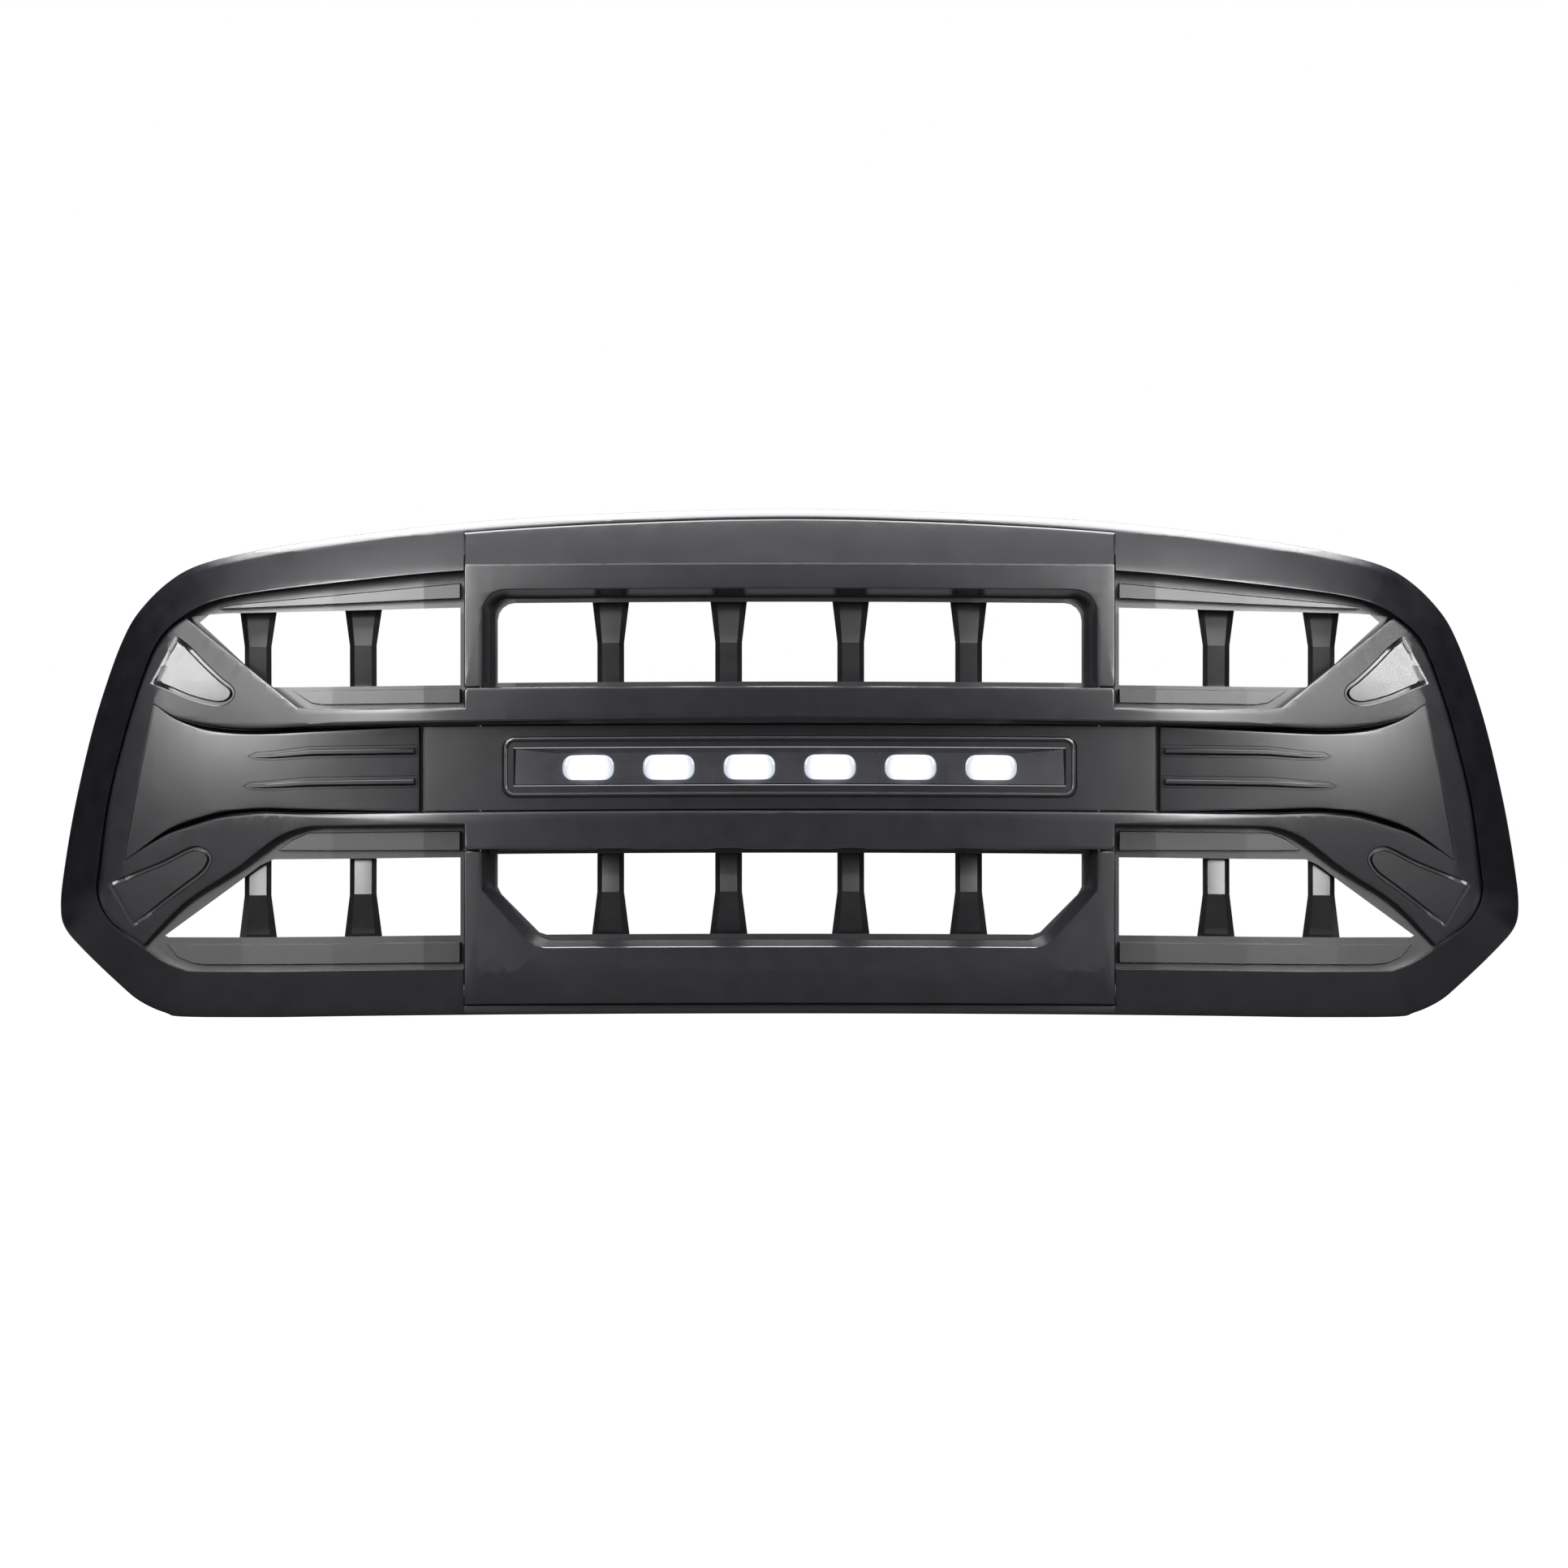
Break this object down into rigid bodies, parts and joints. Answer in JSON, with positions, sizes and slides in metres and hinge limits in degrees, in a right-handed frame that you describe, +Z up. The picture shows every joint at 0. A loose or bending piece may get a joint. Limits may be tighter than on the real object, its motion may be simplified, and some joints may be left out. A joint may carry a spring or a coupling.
{
  "type": "front grille",
  "caption": "Pickup front grille: swept outer frame, raised centre bezels, dog-bone crossbar with scooped wings, slatted windows and a recessed light bar",
  "frame": {"origin": "middle of the bounding box at the foot of the outer frame", "axes": "+X runs across the vehicle, to the right as seen from in front; +Y runs back into the vehicle, so the face looks along -Y; +Z is up"},
  "size_m": [1.24, 0.172, 0.4308],
  "materials": {
    "black_abs": "satin moulded black",
    "textured_abs": "fine textured black",
    "lamp_black": "semi-gloss dark grey",
    "clear_lens": "clear moulded polycarbonate",
    "chrome": "vacuum-plated mirror",
    "circuit_green": "solder mask",
    "cast_aluminium": "dark anodised casting",
    "rubber": "plain black",
    "zinc_steel": "zinc plated",
    "coated_steel": "black e-coat"
  },
  "bodies": {
    "root": {"bottom_bracket_left": "coated_steel", "bottom_bracket_right": "coated_steel", "cable_inlet": "rubber", "centre_rear_frame": "textured_abs", "crossbar": "black_abs", "led_board": "circuit_green", "left_inner_slat": "textured_abs", "left_outer_slat": "textured_abs", "left_rear_frame": "textured_abs", "left_wing_insert": "black_abs", "lens_1": "clear_lens", "lens_2": "clear_lens", "lens_3": "clear_lens", "lens_4": "clear_lens", "lens_5": "clear_lens", "lens_6": "clear_lens", "light_bar_screw_left": "zinc_steel", "light_bar_screw_right": "zinc_steel", "light_bezel": "black_abs", "light_cover": "lamp_black", "light_gasket": "rubber", "light_housing": "cast_aluminium", "light_panel": "black_abs", "lower_bezel": "black_abs", "lower_slat_1": "textured_abs", "lower_slat_2": "textured_abs", "lower_slat_3": "textured_abs", "lower_slat_4": "textured_abs", "outer_bracket_left": "coated_steel", "outer_bracket_right": "coated_steel", "panel_screw_1": "zinc_steel", "panel_screw_2": "zinc_steel", "panel_screw_3": "zinc_steel", "panel_screw_4": "zinc_steel", "reflector_1": "chrome", "reflector_2": "chrome", "reflector_3": "chrome", "reflector_4": "chrome", "reflector_5": "chrome", "reflector_6": "chrome", "right_inner_slat": "textured_abs", "right_outer_slat": "textured_abs", "right_rear_frame": "textured_abs", "right_wing_insert": "black_abs", "side_bracket_left": "coated_steel", "side_bracket_right": "coated_steel", "surround_frame": "black_abs", "top_bracket_left": "coated_steel", "top_bracket_right": "coated_steel", "top_seal": "rubber", "upper_bezel": "black_abs", "upper_slat_1": "textured_abs", "upper_slat_2": "textured_abs", "upper_slat_3": "textured_abs", "upper_slat_4": "textured_abs"}
  },
  "joints": []
}
